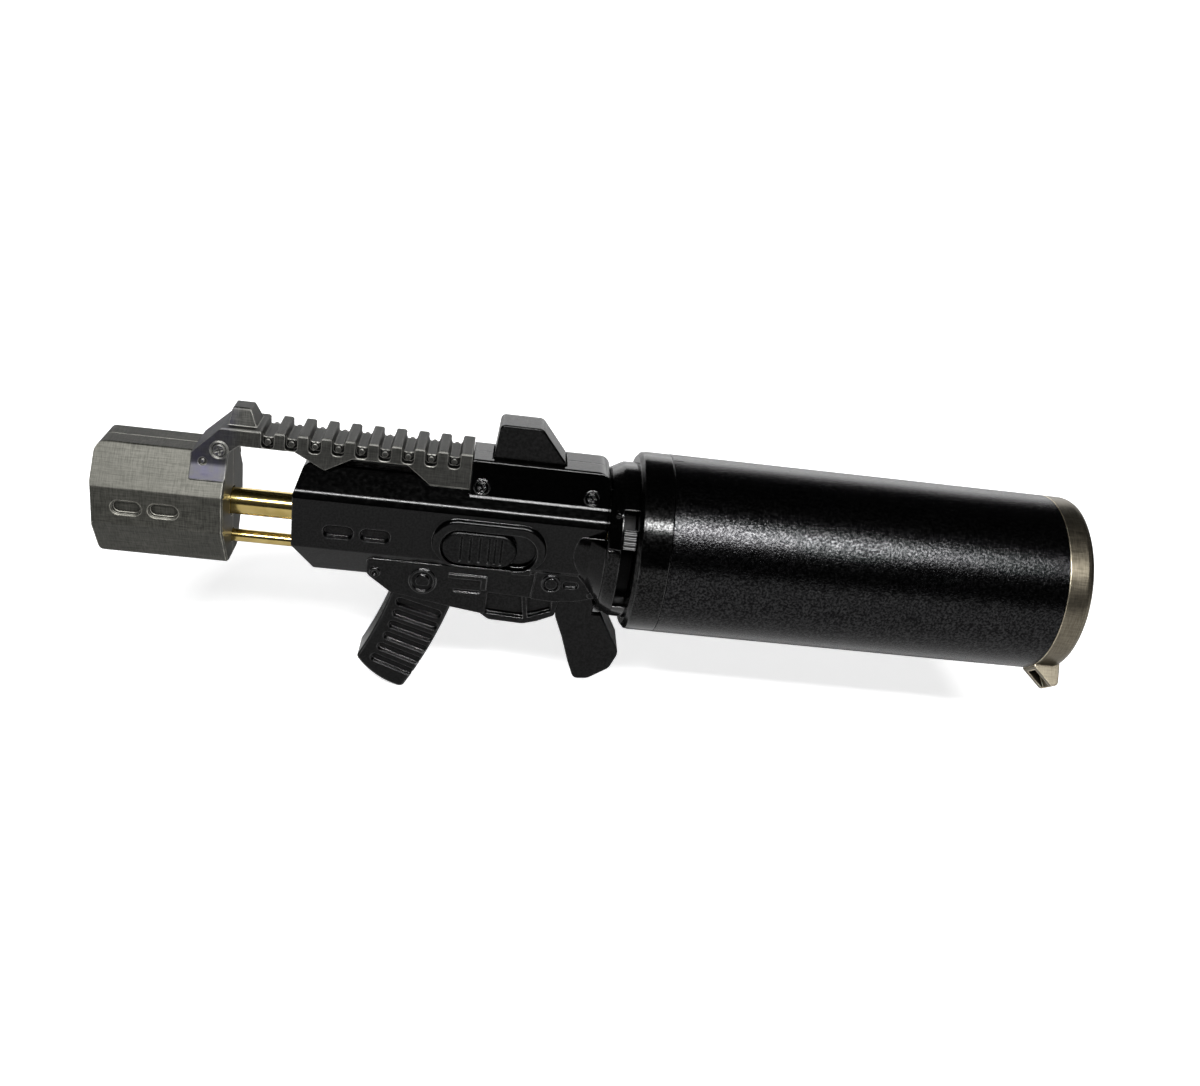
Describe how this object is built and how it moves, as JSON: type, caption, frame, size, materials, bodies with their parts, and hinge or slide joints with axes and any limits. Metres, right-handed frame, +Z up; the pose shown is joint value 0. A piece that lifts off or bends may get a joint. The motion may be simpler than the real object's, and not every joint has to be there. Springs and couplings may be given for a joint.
{
  "type": "rifle-shaped jet torch lighter",
  "caption": "Table-top jet torch lighter: small rifle-shaped burner casting with ribbed rail, brass tubes and sprung ignition button, on a cylindrical gas tank.",
  "frame": {"origin": "centre of the base cap's flat rear face", "axes": "X along the tank's axis with the muzzle at -X, +Z up through the top rail and ignition button, -Y the side with the thumb slider"},
  "size_m": [0.2142, 0.04, 0.0669],
  "materials": {
    "shroud": "brushed gunmetal plating over zinc casting",
    "rail": "brushed gunmetal plating over zinc casting",
    "nozzle_brass": "turned, dulled by heat",
    "disc_steel": "satin",
    "plate_steel": "satin",
    "tube_brass": "polished",
    "ceramic": "glazed ceramic",
    "pin_steel": "satin",
    "body_black": "gloss black enamel over zinc casting",
    "screw_steel": "blackened",
    "button_black": "satin black",
    "spring_steel": "bright spring wire",
    "piezo_plastic": "moulded",
    "lever_steel": "stamped",
    "valve_brass": "turned",
    "seal_rubber": "moulded",
    "hose_rubber": "extruded",
    "lead_plastic": "extruded insulation",
    "slider_black": "satin black",
    "neck_black": "gloss black",
    "adjuster_metal": "satin black",
    "collar_black": "gloss black",
    "tank_black": "satin black fine sand texture",
    "head_aluminium": "drawn",
    "dip_plastic": "extruded",
    "cap_metal": "brushed gunmetal plating, slightly bronze"
  },
  "bodies": {
    "housing": {"shroud_left": "shroud", "shroud_right": "shroud", "burner_nozzle": "nozzle_brass", "flame_disc": "disc_steel", "nozzle_holder": "plate_steel", "burner_tube": "tube_brass", "lead_tube": "tube_brass", "electrode_insulator": "ceramic", "electrode": "pin_steel", "top_rail": "rail", "body_shell_left": "body_black", "body_shell_right": "body_black", "shell_screws": "screw_steel", "magazine": "body_black", "pistol_grip": "body_black", "button_spring": "spring_steel", "piezo_case": "piezo_plastic", "lever_pin": "pin_steel", "valve_body": "valve_brass", "valve_spring": "spring_steel", "valve_o_ring": "seal_rubber", "gas_hose": "hose_rubber", "gas_jet": "valve_brass", "ignition_lead": "lead_plastic", "detent_spring": "spring_steel", "neck_ring": "neck_black", "flow_regulator": "valve_brass", "tank_collar": "collar_black", "tank_sleeve": "tank_black", "front_head": "head_aluminium", "fuel_can": "head_aluminium", "rear_head": "head_aluminium", "front_seal": "seal_rubber", "rear_seal": "seal_rubber", "dip_tube": "dip_plastic", "refill_body": "valve_brass", "refill_spring": "spring_steel", "base_gasket": "seal_rubber", "base_cap": "cap_metal"},
    "ignition_button": {"sight_button": "button_black", "piezo_plunger": "piezo_plastic"},
    "lever": {"valve_lever": "lever_steel"},
    "stem": {"valve_stem": "valve_brass"},
    "lock_slider": {"thumb_slider": "slider_black", "slider_carriage": "piezo_plastic"},
    "flame_adjuster": {"adjuster_ring": "adjuster_metal"},
    "refill_valve": {"refill_stem": "valve_brass"}
  },
  "joints": [
    {"name": "button_press", "type": "slide", "parent": "housing", "child": "ignition_button", "axis": [0, 0, -1], "range_m": [0, 0.0035], "stiffness_N_per_m": 1500, "springref_m": -0.004, "deforming": ["button_spring"]},
    {"name": "lever_pivot", "type": "hinge", "parent": "housing", "child": "lever", "pos_m": [-0.1113, 0, -0.0045], "axis": [0, 1, 0], "range_deg": [-22.4, 0.1]},
    {"name": "stem_slide", "type": "slide", "parent": "housing", "child": "stem", "axis": [-1, 0, 0], "range_m": [0, 0.0016], "deforming": ["valve_spring"]},
    {"name": "slider_travel", "type": "slide", "parent": "housing", "child": "lock_slider", "axis": [1, 0, 0], "range_m": [0, 0.004]},
    {"name": "adjuster_turn", "type": "hinge", "parent": "housing", "child": "flame_adjuster", "pos_m": [0, 0, 0], "axis": [1, 0, 0], "range_deg": [-13.4, 51]},
    {"name": "refill_press", "type": "slide", "parent": "housing", "child": "refill_valve", "axis": [-1, 0, 0], "range_m": [0, 0.0015], "stiffness_N_per_m": 500, "springref_m": -0.004, "deforming": ["refill_spring"]}
  ],
  "couplings": [
    {"joint": "lever_pivot", "follows": "button_press", "rad_per_m": -111.1},
    {"joint": "stem_slide", "follows": "button_press", "ratio": 0.4286}
  ]
}
